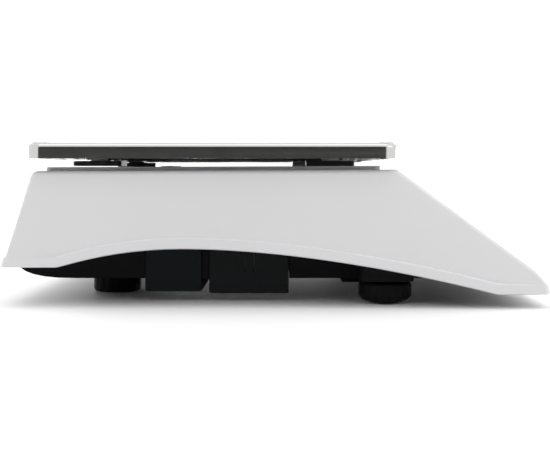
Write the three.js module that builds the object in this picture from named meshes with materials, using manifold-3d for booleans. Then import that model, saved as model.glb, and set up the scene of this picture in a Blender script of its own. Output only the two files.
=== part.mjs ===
// A low counter scale with a built-in label printer, as an assembly of separate pieces.
// Millimetres. +X points at the operator, +Z is up, and the printer is on the +Y side.
// The origin is on the counter, under the middle of the housing.
import * as THREE from 'three';
import { mergeVertices } from 'three/addons/utils/BufferGeometryUtils.js';
import Module from 'manifold-3d';

const wasm = await Module();
wasm.setup();

// ---------------------------------------------------------------- driving dimensions
const GAP = 0.3; // air left between pieces that would touch
const HALF_WIDTH = 183.8; // housing, at TAPER_FROM
const TAPER = 0.00148; // share of the width lost for each millimetre of height
const TAPER_FROM = 10;
const EDGE_RADIUS = 8; // long edges of the cover
const WALL = 2.6; // cover wall
const LIP_PROUD = 1.2;
const LIP_HEIGHT = 6;
const REAR = { x: -177, z: 33.7, lean: 0.2495 }; // the rear face leans forward going up
const TOP_REAR = [-155, 89.3];
const TOP_FRONT = [82.6, 90.25];
const SLOPE = { x: 89.2, z: 85.3, angle: 36.72 * Math.PI / 180 };
const SLOPE_END = [166, 28];
const NOSE = [178.7, 11];
const DECK = { x: [-157.6, 73], y: [-148, 148], z: [80, 92.5] };
const ARCH = { start: -143, rearZ: 26.8, peakX: -61, peakZ: 38.6, endX: 144.9, endZ: 9.6 };
const TRAY_HALF = 148;
const TRAY_WALL = 2.5;
const TRAY_BOTTOM = 15.9;
const FLANGE_HALF = 170;
const PLATTER = { x: [-167, 83], y: [-167.5, 167.5], z: [97.6, 108], sheet: 1, corner: 12 };
const SUPPORTS = [['rear', -129.5], ['front', 40]]; // where the pan rests, along X
const SUPPORT_Y = 86; // middle of the side rails that carry the supports
const FRONT_FOOT = { x: 75, y: 151, hole: 4.5 };
const REAR_FOOT = { x: -118.5, y: 84, hole: 4.5 };
const SCREWS = [[-138, 60, 15.9], [-138, -60, 15.9], [161, 60, 9.2], [161, -60, 9.2]];
const ROLL = { s: 33, n: -28.5, radius: 20, core: 7, y: [82, 130] };
const PLATEN = { s: 74.5, n: -9, radius: 6, shaft: 2, y: [80, 130] };
const LID_HINGE = { s: 9, n: -1.6, pin: 1 };
const MOTOR = { s: 58, n: -16, radius: 8.5 };
const GEAR_MODULE = 0.8;
const TEETH = { pinion: 10, idler: 15, platen: 14 };
const GEAR_Y = [70, 73];
const SIDES = [['left', -1], ['right', 1]];

// ---------------------------------------------------------------- helpers
/** A closed three.js geometry as a solid that can be joined and cut. */
function solid(geometry) {
  const bare = geometry.clone();
  bare.deleteAttribute('normal');
  bare.deleteAttribute('uv');
  const merged = mergeVertices(bare, 1e-4);
  const from = merged.index.array;
  const triangles = [];
  for (let i = 0; i < from.length; i += 3) {
    const [a, b, c] = [from[i], from[i + 1], from[i + 2]];
    if (a !== b && b !== c && c !== a) triangles.push(a, b, c);
  }
  const vertProperties = merged.attributes.position.array;
  return new wasm.Manifold(new wasm.Mesh({ numProp: 3, vertProperties, triVerts: new Uint32Array(triangles) }));
}

/** A solid as a three.js geometry. */
function geometryOf(body) {
  const mesh = body.getMesh();
  const geometry = new THREE.BufferGeometry();
  geometry.setAttribute('position', new THREE.BufferAttribute(new Float32Array(mesh.vertProperties), 3));
  geometry.setIndex(new THREE.BufferAttribute(new Uint32Array(mesh.triVerts), 1));
  geometry.computeVertexNormals();
  return geometry;
}

/** A block between two corners, each range being [low, high]. */
function block({ x, y, z }) {
  const geometry = new THREE.BoxGeometry(x[1] - x[0], y[1] - y[0], z[1] - z[0]);
  geometry.translate((x[0] + x[1]) / 2, (y[0] + y[1]) / 2, (z[0] + z[1]) / 2);
  return geometry;
}

/** The same ranges, each end moved outwards by a distance. */
function grown({ x, y, z }, by) {
  const wider = ([low, high]) => [low - by, high + by];
  return { x: wider(x), y: wider(y), z: wider(z) };
}

/** An upright cylinder. */
function post(radius, x, y, [low, high], sides = 20) {
  const geometry = new THREE.CylinderGeometry(radius, radius, high - low, sides);
  geometry.rotateX(Math.PI / 2);
  geometry.translate(x, y, (low + high) / 2);
  return geometry;
}

/** A cylinder that runs along Y. */
function rod(radius, x, z, [low, high], sides = 20) {
  const geometry = new THREE.CylinderGeometry(radius, radius, high - low, sides);
  geometry.translate(x, (low + high) / 2, z);
  return geometry;
}

/** A shape in the XZ plane, run along Y between two values. */
function alongY(shape, [low, high], curveSegments = 6) {
  const geometry = new THREE.ExtrudeGeometry(shape, { depth: high - low, bevelEnabled: false, curveSegments });
  geometry.rotateX(Math.PI / 2);
  geometry.translate(0, high, 0);
  return geometry;
}

/** A closed outline through straight-joined points. */
function polygon(points) {
  return new THREE.Shape(points.map(([a, b]) => new THREE.Vector2(a, b)));
}

/** A plate with rounded corners in plan, and an optional rounded upper and lower rim. */
function roundedPlate({ x, y, z }, radius, rim = 0) {
  const shape = new THREE.Shape();
  const turn = Math.PI / 2;
  shape.absarc(x[1] - radius, y[1] - radius, radius, 0, turn, false);
  shape.absarc(x[0] + radius, y[1] - radius, radius, turn, 2 * turn, false);
  shape.absarc(x[0] + radius, y[0] + radius, radius, 2 * turn, 3 * turn, false);
  shape.absarc(x[1] - radius, y[0] + radius, radius, 3 * turn, 4 * turn, false);
  const bevel = { bevelEnabled: rim > 0, bevelSize: rim, bevelThickness: rim, bevelOffset: -rim, bevelSegments: 1 };
  const geometry = new THREE.ExtrudeGeometry(shape, { depth: z[1] - z[0] - 2 * rim, curveSegments: 4, ...bevel });
  geometry.translate(0, 0, z[0] + rim);
  return geometry;
}

/** A turned piece on an upright axis, from [radius, height] pairs. */
function turned(profile, x, y, sides = 24) {
  const geometry = new THREE.LatheGeometry(profile.map(([r, h]) => new THREE.Vector2(r, h)), sides);
  geometry.rotateX(Math.PI / 2);
  geometry.translate(x, y, 0);
  return geometry;
}

/** A frame on a sloping face: local x runs down or up the face, local z points out of it. */
function faceGroup(x, z, angle) {
  const frame = new THREE.Group();
  frame.position.set(x, 0, z);
  frame.rotation.y = angle;
  frame.updateMatrixWorld(true);
  return frame;
}

const part = new THREE.Group();
const slope = faceGroup(SLOPE.x, SLOPE.z, SLOPE.angle);
const rearFace = faceGroup(REAR.x, REAR.z, Math.atan(REAR.lean) - Math.PI / 2);
part.add(slope, rearFace);

/** Adds one named piece with its own finish. */
function add(name, shape, finish, parent = part) {
  const geometry = shape.isBufferGeometry ? shape : geometryOf(shape);
  const [color, roughness, metalness] = finish;
  const mesh = new THREE.Mesh(geometry, new THREE.MeshStandardMaterial({ color, roughness, metalness }));
  mesh.name = name;
  parent.add(mesh);
  return mesh;
}

/** A geometry built in a face's own frame, moved to the part's frame, as a solid. */
function onFace(geometry, face) {
  return solid(geometry.clone().applyMatrix4(face.matrix));
}

const WHITE = [0xe6e8ea, 0.42, 0];
const BLACK = [0x17181a, 0.55, 0];
const DARK_GREY = [0x25272a, 0.5, 0];
const BLUE_BLACK = [0x15191c, 0.4, 0];
const STEEL = [0xb9bcbf, 0.25, 1];
const ALUMINIUM = [0xb0b3b6, 0.45, 1];
const RUBBER = [0x141414, 0.85, 0];
const GREY_RUBBER = [0xb9bbb9, 0.8, 0];
const SMOKED = [0x1b2320, 0.1, 0];
const GLASS_GREY = [0x9fae98, 0.25, 0];
const BOARD = [0x1f6b3a, 0.5, 0];
const KEYPAD = [0xdfe3e6, 0.5, 0];
const PAPER = [0xf3f1ea, 0.8, 0];
const AMBER = [0xd9c24a, 0.2, 0];
const CASE_GREY = [0x3a3d40, 0.5, 0];
const LAMINATIONS = [0x4a4038, 0.6, 0.4];
const TINNED = [0x8f9294, 0.4, 0.8];
const BRASS = [0xc8a050, 0.35, 1];
const CARD = [0xa98a64, 0.8, 0];
const BUTTON_GREY = [0x5f6468, 0.45, 0];

// ---------------------------------------------------------------- housing
/** The side outline of the cover, run well below its lower edge. */
function coverOutline() {
  const rearX = (z) => REAR.x + (z - REAR.z) * REAR.lean;
  const below = -30;
  const bendStart = 81.5;
  const shape = new THREE.Shape();
  shape.moveTo(rearX(below), below);
  shape.lineTo(NOSE[0], below);
  shape.lineTo(NOSE[0], NOSE[1]);
  shape.bezierCurveTo(NOSE[0], 17.5, 173.5, 22.4, SLOPE_END[0], SLOPE_END[1]);
  shape.lineTo(TOP_FRONT[0], TOP_FRONT[1]);
  shape.lineTo(TOP_REAR[0], TOP_REAR[1]);
  shape.quadraticCurveTo(rearX(TOP_REAR[1]), TOP_REAR[1], rearX(bendStart), bendStart);
  return shape;
}

/** The cover's solid form, grown or shrunk by an offset, with its sides drafted inwards. */
function coverForm(offset) {
  const radius = EDGE_RADIUS + offset;
  const depth = 2 * (HALF_WIDTH - EDGE_RADIUS);
  const geometry = new THREE.ExtrudeGeometry(coverOutline(), {
    depth, curveSegments: 4, bevelSegments: 3,
    bevelSize: radius, bevelThickness: radius, bevelOffset: offset - radius,
  });
  geometry.rotateX(Math.PI / 2);
  geometry.translate(0, depth / 2, 0);
  const at = geometry.attributes.position;
  for (let i = 0; i < at.count; i += 1) {
    at.setY(i, at.getY(i) * (1 - TAPER * (at.getZ(i) - TAPER_FROM)));
  }
  return solid(geometry);
}

/** Appends the lower edge of the cover to a shape, from rear to nose, raised by a height. */
function archTo(shape, raise) {
  shape.lineTo(ARCH.start, ARCH.rearZ + raise);
  shape.bezierCurveTo(-138, ARCH.rearZ + 0.5 + raise, -108, ARCH.peakZ + raise, ARCH.peakX, ARCH.peakZ + raise);
  shape.bezierCurveTo(0, ARCH.peakZ + raise, 75, 27 + raise, ARCH.endX, ARCH.endZ + raise);
}

/** Everything below the cover's lower edge, or below that edge raised by a height. */
function belowArch(raise) {
  const reach = 220; // past the cover on every side
  const depth = -60;
  const shape = new THREE.Shape();
  shape.moveTo(-reach, depth);
  shape.lineTo(-reach, ARCH.rearZ + raise);
  archTo(shape, raise);
  shape.lineTo(reach, ARCH.endZ + raise);
  shape.lineTo(reach, depth);
  return solid(alongY(shape, [-reach, reach], 8));
}

const LID_OPENING = { x: [6, 86], y: [68, 138], z: [-12, 12] };
const WINDOW_POCKET = { x: [4, 34], y: [-140, 50], z: [-1.6, 5] };
const WINDOW_HOLE = { x: [7.5, 30.5], y: [-130, 40], z: [-12, 5] };
const KEYPAD_POCKET = { x: [40, 92], y: [-148, 56], z: [-1.2, 5] };
const REAR_POCKET = { x: [12, 38], y: [-85, 85], z: [-1.6, 5] };
const REAR_HOLE = { x: [15.5, 34.5], y: [-78, 78], z: [-12, 5] };
const POST_HOLE = { x: [4, 56], y: [-24, 24], z: [70, 100] };
const VIAL = { x: -75, y: -120, hole: 8.6 };
const BUTTON = { x: [60, 72], y: [142, 150] };

function topCover() {
  const innerDeck = { x: [DECK.x[0] + WALL, DECK.x[1] - WALL], y: [DECK.y[0] + WALL, DECK.y[1] - WALL],
    z: [DECK.z[0] - WALL, DECK.z[1] - WALL] };
  const outer = coverForm(0).add(solid(roundedPlate(DECK, 5, 1.2)));
  const inner = coverForm(-WALL).add(solid(roundedPlate(innerDeck, 3)));
  const lip = coverForm(LIP_PROUD).intersect(belowArch(LIP_HEIGHT));
  let cover = outer.add(lip).subtract(inner);
  const bossRadius = 4.5;
  const pilotRadius = 1.9;
  for (const [x, y, under] of SCREWS) {
    const foot = under + TRAY_WALL + GAP;
    const boss = solid(post(bossRadius, x, y, [foot, 90])).intersect(outer);
    const pilot = solid(post(pilotRadius, x, y, [foot - 1, foot + 11], 16));
    cover = cover.add(boss).subtract(pilot);
  }
  const cutsOnSlope = [LID_OPENING, WINDOW_POCKET, WINDOW_HOLE, KEYPAD_POCKET,
    grown({ ...BUTTON, z: [-12, 5] }, 0.4)];
  for (const cut of cutsOnSlope) cover = cover.subtract(onFace(block(cut), slope));
  for (const cut of [REAR_POCKET, REAR_HOLE]) cover = cover.subtract(onFace(block(cut), rearFace));
  cover = cover.subtract(solid(roundedPlate(POST_HOLE, 6)));
  cover = cover.subtract(solid(post(VIAL.hole, VIAL.x, VIAL.y, [70, 100])));
  return cover.subtract(belowArch(0));
}

const BATTERY_WELL = { x: [-45, 9.5], y: [-150, -40], z: [5.7, 80] };
const BATTERY_SPLIT = [44, 44.4]; // the cover ends and the fixed bay begins
const POWER_BOX = { x: [-88.8, -50], y: [-150, -62], z: [7, 44] };
const INLET = { x: [-84, -58], y: [134, TRAY_HALF + 1.5], z: [20.5, 35.5] };
const SWITCH = { x: [-46, -24], y: [134, TRAY_HALF + 1.5], z: [21, 35] };
const PORT = { x: [-12, 8], y: [134, TRAY_HALF + 1], z: [21, 34.5] };
const BOARD_POSTS = [[-52, 36], [-52, 94], [32, 36], [32, 94]];
const MAIN_BOARD = { x: [-58, 38], y: [30, 100], z: [26, 27.6] };

/** The tray's underside from tail to nose; lifted, it is the tray's floor inside. */
function trayOutline(lift, ends) {
  const shape = new THREE.Shape();
  const top = 60;
  const rimZ = ARCH.rearZ - 0.4;
  shape.moveTo(-171.5 + ends, top);
  shape.lineTo(-171.5 + ends, rimZ);
  if (ends === 0) shape.lineTo(-176.5, rimZ);
  shape.quadraticCurveTo(-173 + 2 * ends, TRAY_BOTTOM + lift, -138, TRAY_BOTTOM + lift);
  shape.lineTo(112, TRAY_BOTTOM + lift);
  shape.lineTo(146, 9 + lift);
  shape.lineTo(168 - ends, 9.2 + lift);
  shape.lineTo(168 - ends, top);
  return shape;
}

function baseTray() {
  const flangeRaise = 7.5;
  const flangeTop = 10;
  const footTop = 30;
  const trough = solid(alongY(trayOutline(0, 0), [-TRAY_HALF, TRAY_HALF]));
  const flange = solid(alongY(trayOutline(0, 0), [-FLANGE_HALF, FLANGE_HALF])).subtract(belowArch(flangeRaise));
  let tray = trough.add(flange).intersect(belowArch(flangeTop));
  const pads = [];
  for (const side of [-1, 1]) {
    const footPad = { x: [57, 93], y: [side * 155.5 - 15, side * 155.5 + 15], z: [TRAY_BOTTOM, footTop] };
    pads.push(solid(roundedPlate(footPad, 6)));
    const innerPad = { x: [47, 80], y: [side * 117 - 14, side * 117 + 14], z: [11.3, TRAY_BOTTOM + 1] };
    pads.push(solid(roundedPlate(innerPad, 3)));
  }
  for (const pad of pads) tray = tray.add(pad);
  const inside = TRAY_HALF - TRAY_WALL;
  tray = tray.subtract(solid(alongY(trayOutline(TRAY_WALL, TRAY_WALL), [-inside, inside])));
  for (const side of [-1, 1]) {
    tray = tray.add(solid(post(7.5, REAR_FOOT.x, side * REAR_FOOT.y, [TRAY_BOTTOM, footTop])));
    for (const foot of [FRONT_FOOT, REAR_FOOT]) {
      tray = tray.subtract(solid(post(foot.hole, foot.x, side * foot.y, [0, 50])));
    }
  }
  for (const [x, y] of BOARD_POSTS) {
    tray = tray.add(solid(post(3, x, y, [TRAY_BOTTOM + 1, MAIN_BOARD.z[0] - GAP], 12)));
  }
  for (const [x, y] of SCREWS) tray = tray.subtract(solid(post(1.9, x, y, [0, 25], 16)));
  for (const hole of [BATTERY_WELL, POWER_BOX, INLET, SWITCH, PORT]) {
    tray = tray.subtract(solid(block(grown(hole, GAP))));
  }
  return tray;
}

// ---------------------------------------------------------------- power
/** An open-ended box: the outer ranges less the same ranges moved in by a wall. */
function hollowBox(outer, wall, open) {
  const hollow = grown(outer, -wall);
  if (open === 'bottom') hollow.z[0] = outer.z[0] - 1;
  if (open === 'top') hollow.z[1] = outer.z[1] + 1;
  return solid(block(outer)).subtract(solid(block(hollow)));
}

const BOX_WALL = 2;
const SNAP_SLOTS = [-20.5, -14.2]; // either side of the springy tongue
const SNAP_FROM = 20.5;

/** The battery cover: a deep tub whose outer wall has a springy tongue between two slots. */
function batteryCover() {
  const { x, y, z } = BATTERY_WELL;
  let tub = hollowBox({ x, y, z: [z[0], BATTERY_SPLIT[0]] }, BOX_WALL, 'top');
  for (const middle of SNAP_SLOTS) {
    const slot = { x: [middle - 0.6, middle + 0.6], y: [y[0] - 1, y[0] + BOX_WALL + 0.5] };
    tub = tub.subtract(solid(block({ ...slot, z: [SNAP_FROM, BATTERY_SPLIT[1]] })));
  }
  return tub;
}

function buildPower() {
  const bay = { ...BATTERY_WELL, z: [BATTERY_SPLIT[1], BATTERY_WELL.z[1]] };
  add('battery_bay', hollowBox(bay, BOX_WALL, 'bottom'), BLACK);
  add('battery_cover', batteryCover(), DARK_GREY);
  add('battery', block({ x: [-41, 6], y: [-146, -44], z: [8.5, 76] }), CASE_GREY);
  add('power_box', hollowBox(POWER_BOX, BOX_WALL, 'top'), BLUE_BLACK);
  add('transformer', block({ x: [-85, -54], y: [-142, -104], z: [9.5, 40] }), LAMINATIONS);
  add('power_board', block({ x: [-86, -53], y: [-100, -65], z: [12, 13.6] }), BOARD);
  const socket = { x: [-79.5, -62.5], y: [138, 152], z: [23.6, 32.4] };
  add('mains_inlet', solid(block(INLET)).subtract(solid(block(socket))), BLACK);
  const switchWell = { x: [-44.5, -25.5], y: [141, 152], z: [22.5, 33.5] };
  add('switch_housing', solid(block(SWITCH)).subtract(solid(block(switchWell))), BLACK);
  const portHole = { x: [-8, 4], y: [137, 151], z: [23, 32.5] };
  add('data_port', solid(block(PORT)).subtract(solid(block(portHole))), TINNED);
}

/** The rocker stands tilted, pressed in at one end. */
function buildRocker() {
  add('power_rocker', alongZ(rockerOutline(), [22.9, 33.1]), BLACK);
}

function rockerOutline() {
  const tilt = 7 * Math.PI / 180;
  const corners = [[-9, -3], [9, -3], [9, 2.6], [0, 1.4], [-9, 2.6]];
  return polygon(corners.map(([a, b]) => [
    -35 + a * Math.cos(tilt) - b * Math.sin(tilt),
    147 + a * Math.sin(tilt) + b * Math.cos(tilt),
  ]));
}

/** A shape in the XY plane, run up between two heights. */
function alongZ(shape, [low, high]) {
  const geometry = new THREE.ExtrudeGeometry(shape, { depth: high - low, bevelEnabled: false });
  geometry.translate(0, 0, low);
  return geometry;
}

// ---------------------------------------------------------------- weighing
const CELL = { x: [-82.5, 47.5], y: [-15, 15], z: [50, 72] };
const CELL_BOLTS = { rear: [-74, -56], front: [21, 39], radius: 3, hole: 3.4 };

function buildWeighing() {
  const bore = (body, places, range, radius = CELL_BOLTS.hole) => places.reduce(
    (left, x) => left.subtract(solid(post(radius, x, 0, range, 16))), body);
  let cell = solid(block(CELL));
  const across = [-16, 16];
  const lobes = [-28, -7]; // the round ends of the window that lets the beam bend
  for (const x of lobes) cell = cell.subtract(solid(rod(8, x, 61, across)));
  cell = cell.subtract(solid(block({ x: lobes, y: across, z: [56, 66] })));
  cell = bore(cell, CELL_BOLTS.rear, [45, 62]);
  cell = bore(cell, CELL_BOLTS.front, [62, 80]);
  add('load_cell', cell, ALUMINIUM);
  const bracket = solid(block({ x: [-88, -38], y: [-30, 30], z: [18.7, 22.7] }))
    .add(solid(block({ x: [-82.5, -48], y: [-15, 15], z: [22, 49.7] })));
  const counterbored = bore(bore(bracket, CELL_BOLTS.rear, [10, 60]), CELL_BOLTS.rear, [10, 22.8], 5.4);
  add('load_cell_bracket', counterbored, STEEL);
  const spacer = solid(block({ x: [13, 47.5], y: [-15, 15], z: [72.3, 97.3] }));
  add('platform_spacer', bore(spacer, CELL_BOLTS.front, [60, 110]), ALUMINIUM);
  const bolt = (x, head, shank) => solid(post(5, x, 0, head)).add(solid(post(CELL_BOLTS.radius, x, 0, shank, 16)));
  CELL_BOLTS.rear.forEach((x, i) => add(`cell_bolt_rear_${i + 1}`, bolt(x, [18.8, 22.4], [20, 60]), STEEL));
  CELL_BOLTS.front.forEach((x, i) => add(`cell_bolt_front_${i + 1}`, bolt(x, [102.9, 106.2], [64, 104]), STEEL));
  add('platform_frame', bore(platformFrame(), CELL_BOLTS.front, [60, 120]), BLACK);
  const cushionY = SUPPORT_Y + 14.5;
  for (const [end, x] of SUPPORTS) {
    for (const [side, sign] of SIDES) {
      add(`cushion_${end}_${side}`, post(6.5, x, sign * cushionY, [96.9, 106.7]), GREY_RUBBER);
    }
  }
  add('platter', platter(), STEEL);
}

/** The frame under the platter: a hub, two cross arms, two side rails and four low pads. */
function platformFrame() {
  const deep = [97.6, 102.6];
  const [rear, front] = SUPPORTS.map(([, x]) => x);
  const armHalf = 10;
  const railHalf = 6;
  let frame = solid(block({ x: [rear, front], y: [-30, 30], z: deep }));
  for (const [, sign] of SIDES) {
    const y = sign * SUPPORT_Y;
    const rail = { x: [rear - armHalf, front + armHalf], y: [y - railHalf, y + railHalf], z: deep };
    frame = frame.add(solid(block(rail)));
    for (const x of [rear, front]) {
      const arm = { x: [x - armHalf, x + armHalf], y: [Math.min(0, y), Math.max(0, y)], z: deep };
      const neck = { x: [x - 7, x + 7], y: [y - railHalf, y + railHalf], z: [95, 98] };
      const padY = sign * (SUPPORT_Y + 8);
      const pad = { x: [x - 17.5, x + 17.5], y: [padY - 14, padY + 14], z: [93, 96.6] };
      frame = frame.add(solid(block(arm))).add(solid(block(neck))).add(solid(roundedPlate(pad, 2)));
    }
  }
  return frame;
}

/** The removable pan: a shallow tray turned upside down, with a low ridge at each end. */
function platter() {
  const { x, y, z, sheet, corner } = PLATTER;
  const shoulder = 2.5;
  const skin = solid(roundedPlate({ x, y, z: [z[0] - 4, z[1]] }, corner, shoulder));
  const reach = 300; // past the pan on every side
  const hollow = { x: [x[0] + sheet, x[1] - sheet], y: [y[0] + sheet, y[1] - sheet], z: [z[0] - 8, z[1] - sheet] };
  let pan = skin.subtract(solid(roundedPlate(hollow, corner - sheet, 1.5)));
  pan = pan.subtract(solid(block({ x: [-reach, reach], y: [-reach, reach], z: [z[0] - reach, z[0]] })));
  for (const ridge of [x[0] + 5.5, x[1] - 5.5]) {
    const strip = { x: [ridge - 3, ridge + 3], y: [y[0] + 9, y[1] - 9], z: [z[1] - 0.9, z[1] + 1] };
    pan = pan.add(solid(roundedPlate(strip, 2.5, 0.8)));
  }
  return pan;
}

// ---------------------------------------------------------------- feet, screws and small parts
const FRONT_KNOB = [[0, 0], [6, 0], [12, 0.9], [16, 2.6], [18, 4.8], [18, 12.4], [16.6, 14.6], [4, 14.6],
  [4, 34], [0, 34]];
const REAR_KNOB = [[0, 0], [16, 0], [17.5, 1.5], [17.5, 12.6], [16.7, 13.4], [4, 13.4], [4, 30], [0, 30]];

function buildFeetAndScrews() {
  for (const [side, sign] of SIDES) {
    add(`foot_front_${side}`, turned(FRONT_KNOB, FRONT_FOOT.x, sign * FRONT_FOOT.y), RUBBER);
    add(`foot_rear_${side}`, turned(REAR_KNOB, REAR_FOOT.x, sign * REAR_FOOT.y), RUBBER);
  }
  SCREWS.forEach(([x, y, under], i) => {
    const head = solid(post(3.4, x, y, [under - 2.4, under - GAP], 16));
    add(`case_screw_${i + 1}`, head.add(solid(post(1.5, x, y, [under - 1, under + 12], 12))), STEEL);
  });
}

function buildElectronics() {
  add('main_board', block(MAIN_BOARD), BOARD);
  add('buzzer', post(6, 10, 60, [MAIN_BOARD.z[1] + GAP, 37]), BLACK);
  const vial = [[0, 86], [10.5, 86], [10.5, 89.5], [8, 89.5], [8, 92.2], [7.4, 92.7], [0, 92.9]];
  add('level_vial', turned(vial, VIAL.x, VIAL.y, 24), AMBER);
  const front = (x, y, z) => block({ x, y, z });
  add('keypad_overlay', front([40.3, 91.7], [-147.7, 55.7], [-0.9, 0]), KEYPAD, slope);
  add('front_window', front([4.3, 33.7], [-139.7, 49.7], [-1.3, 0]), SMOKED, slope);
  add('front_display', front([8, 30], [-129.5, 39.5], [-4.1, -1.9]), GLASS_GREY, slope);
  add('front_board', front([3, 86], [-138, 54], [-6, -4.4]), BOARD, slope);
  add('rear_window', front([12.3, 37.7], [-84.7, 84.7], [-1.3, 0]), SMOKED, rearFace);
  add('rear_display', front([16, 34], [-77.5, 77.5], [-4.1, -1.9]), GLASS_GREY, rearFace);
  add('rear_board', front([9, 41], [-95, 95], [-6, -4.4]), BOARD, rearFace);
}

// ---------------------------------------------------------------- label printer
/** A gear with straight-flanked teeth. phase is the angle of one tooth's middle. */
function gear(teeth, s, n, phase, bore) {
  const pitch = teeth * GEAR_MODULE / 2;
  const tip = pitch + 0.8 * GEAR_MODULE;
  const root = pitch - 1.1 * GEAR_MODULE;
  const points = [];
  for (let i = 0; i < teeth; i += 1) {
    const middle = phase + i * 2 * Math.PI / teeth;
    const step = 2 * Math.PI / teeth;
    for (const [radius, turn] of [[root, -0.27], [tip, -0.09], [tip, 0.09], [root, 0.27]]) {
      points.push([s + radius * Math.cos(middle + turn * step), n + radius * Math.sin(middle + turn * step)]);
    }
  }
  const shape = polygon(points);
  const hole = new THREE.Path();
  hole.absarc(s, n, bore, 0, 2 * Math.PI, true);
  if (bore > 0) shape.holes.push(hole);
  return alongY(shape, GEAR_Y);
}

/** The tooth angle that a gear needs to mesh with one whose tooth angle is known. */
function meshedPhase(fromTeeth, fromPhase, direction, teeth) {
  const turns = (direction - fromPhase) * fromTeeth / (2 * Math.PI);
  return direction + Math.PI - (0.5 - turns) * 2 * Math.PI / teeth;
}

/** The idler's middle, found from its distances to the motor and the platen. */
function idlerPlace() {
  const toMotor = (TEETH.pinion + TEETH.idler) * GEAR_MODULE / 2;
  const toPlaten = (TEETH.idler + TEETH.platen) * GEAR_MODULE / 2;
  const ds = PLATEN.s - MOTOR.s;
  const dn = PLATEN.n - MOTOR.n;
  const apart = Math.hypot(ds, dn);
  const along = (toMotor ** 2 - toPlaten ** 2 + apart ** 2) / (2 * apart);
  const across = Math.sqrt(toMotor ** 2 - along ** 2);
  return [MOTOR.s + (ds * along + dn * across) / apart, MOTOR.n + (dn * along - ds * across) / apart];
}

function printerFrame(idler) {
  const side = polygon([[7, -3.2], [88, -3.2], [88, -19], [56, -36], [40, -50], [12, -50]]);
  const cheekLeft = solid(alongY(side, [74, 76]));
  const cheekRight = solid(alongY(side, [134, 136]));
  const cradle = new THREE.Shape();
  cradle.absarc(ROLL.s, ROLL.n, ROLL.radius + 2.6, Math.PI * 1.02, Math.PI * 1.85, false);
  cradle.absarc(ROLL.s, ROLL.n, ROLL.radius + 1, Math.PI * 1.85, Math.PI * 1.02, true);
  let frame = cheekLeft.add(cheekRight).add(solid(alongY(cradle, [75, 135], 12)));
  frame = frame.add(solid(block({ x: [86.3, 88], y: [75, 135], z: [-19, -3.2] })));
  frame = frame.add(solid(block({ x: [47, 70.5], y: [66, 67.6], z: [-29, -5.4] })));
  for (const [s, n] of [[50, -26], [68.5, -27]]) frame = frame.add(solid(rod(1.8, s, n, [67, 75], 12)));
  const shaftSlot = { x: [PLATEN.s - 2.6, PLATEN.s + 2.6], y: [73, 137], z: [PLATEN.n - 2.6, 0] };
  frame = frame.subtract(solid(block(shaftSlot)));
  frame = frame.add(solid(rod(1.4, idler[0], idler[1], [69.6, 75], 16)));
  frame = frame.subtract(solid(rod(2.2, MOTOR.s, MOTOR.n, [60, 70], 16)));
  frame = frame.subtract(solid(rod(3.4, LID_HINGE.s, LID_HINGE.n, [73.5, 133.7])));
  const hingeHole = solid(rod(LID_HINGE.pin + 0.3, LID_HINGE.s, LID_HINGE.n, [69.3, 137], 12));
  for (const y of [[70, 72], [134.1, 136]]) {
    const ear = { x: [7, 11.4], y, z: [-9, 0.6] };
    frame = frame.add(solid(block(ear)));
  }
  frame = frame.add(solid(block({ x: [7, 11.4], y: [70, 75], z: [-9, -5] })));
  return frame.subtract(hingeHole);
}

function printerLid() {
  const plate = { x: [6.6, 79.4], y: [68.6, 137.4], z: [-2.6, 0] };
  let lid = solid(block(plate));
  for (const y of [[69, 73], [133.2, 137.2]]) {
    lid = lid.subtract(solid(block({ x: [5, 12.6], y, z: [-6, 4] })));
  }
  lid = lid.add(solid(rod(2.6, LID_HINGE.s, LID_HINGE.n, [76.3, 133], 16)));
  lid = lid.subtract(solid(rod(LID_HINGE.pin + 0.3, LID_HINGE.s, LID_HINGE.n, [60, 140], 12)));
  for (const y of [[77, 79], [131, 133]]) {
    lid = lid.add(solid(block({ x: [68, 79.4], y, z: [-13, -2] })));
  }
  return lid.subtract(solid(rod(PLATEN.shaft + 0.3, PLATEN.s, PLATEN.n, [76, 134], 16)));
}

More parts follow.
